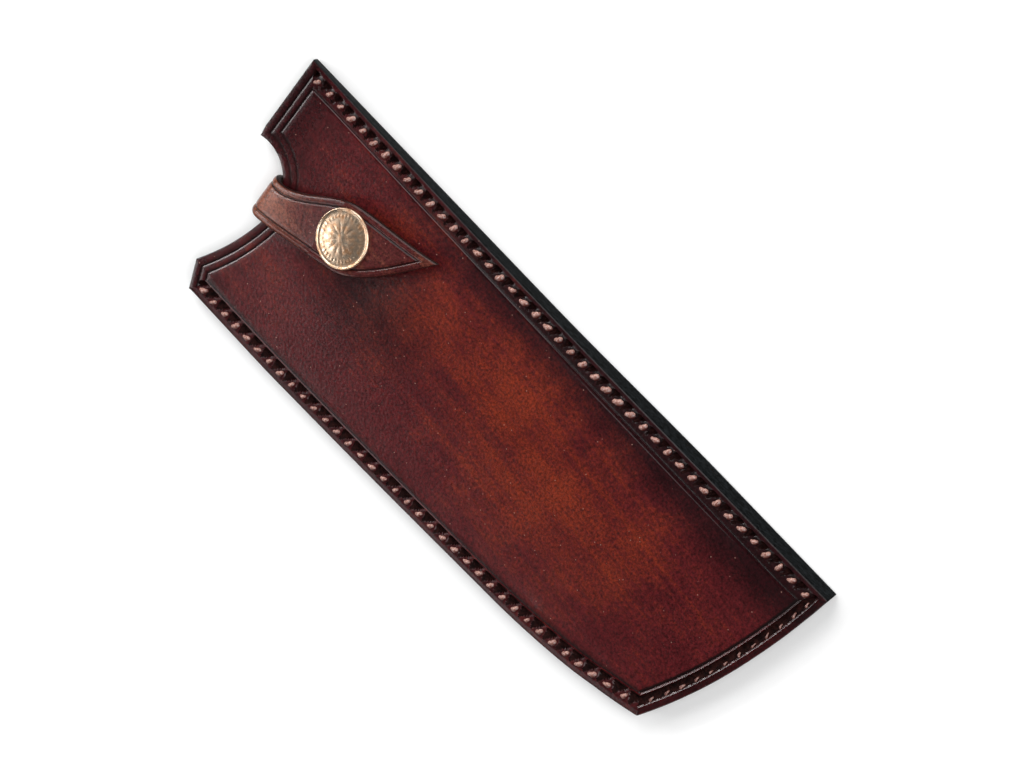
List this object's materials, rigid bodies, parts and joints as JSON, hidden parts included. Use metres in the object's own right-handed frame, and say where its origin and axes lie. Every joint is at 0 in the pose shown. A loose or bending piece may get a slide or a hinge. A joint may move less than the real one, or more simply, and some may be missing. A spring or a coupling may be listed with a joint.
{
  "type": "knife blade sheath",
  "caption": "Flat leather sheath for a kitchen knife blade, saddle-stitched on three sides, with a notched mouth and a leaf-shaped strap that folds over it and closes with a brass snap.",
  "frame": {"origin": "middle of the flat back face on which the sheath lies, under the middle of its bounding box", "axes": "+X from the mouth to the tip, +Y to the straight cutting-edge side, +Z out of the front face that carries the strap and snap"},
  "size_m": [0.214, 0.076, 0.0127],
  "materials": {
    "front_leather": "hand-dyed mahogany vegetable-tanned leather, waxed",
    "back_leather": "hand-dyed mahogany vegetable-tanned leather, waxed",
    "welt_leather": "black dyed and burnished edge",
    "strap_leather": "mahogany leather, lighter where it folds",
    "waxed_thread": "waxed copper-brown linen thread",
    "cap_brass": "polished pale brass, struck relief",
    "snap_brass": "stamped brass",
    "spring_steel": "drawn spring wire"
  },
  "bodies": {
    "sheath": {"back_panel": "back_leather", "front_panel": "front_leather", "edge_welt": "welt_leather", "tip_welt": "welt_leather", "spine_welt": "welt_leather", "edge_thread": "waxed_thread", "tip_thread": "waxed_thread", "spine_thread": "waxed_thread", "snap_stud": "snap_brass", "snap_rivet": "snap_brass"},
    "strap": {"strap_tongue": "strap_leather", "snap_cap": "cap_brass", "snap_socket": "snap_brass", "snap_spring": "spring_steel"}
  },
  "joints": [
    {"name": "strap_fold", "type": "hinge", "parent": "sheath", "child": "strap", "pos_m": [-0.096, 0, 0.0044], "axis": [0, -1, 0], "range_deg": [0, 160]}
  ]
}
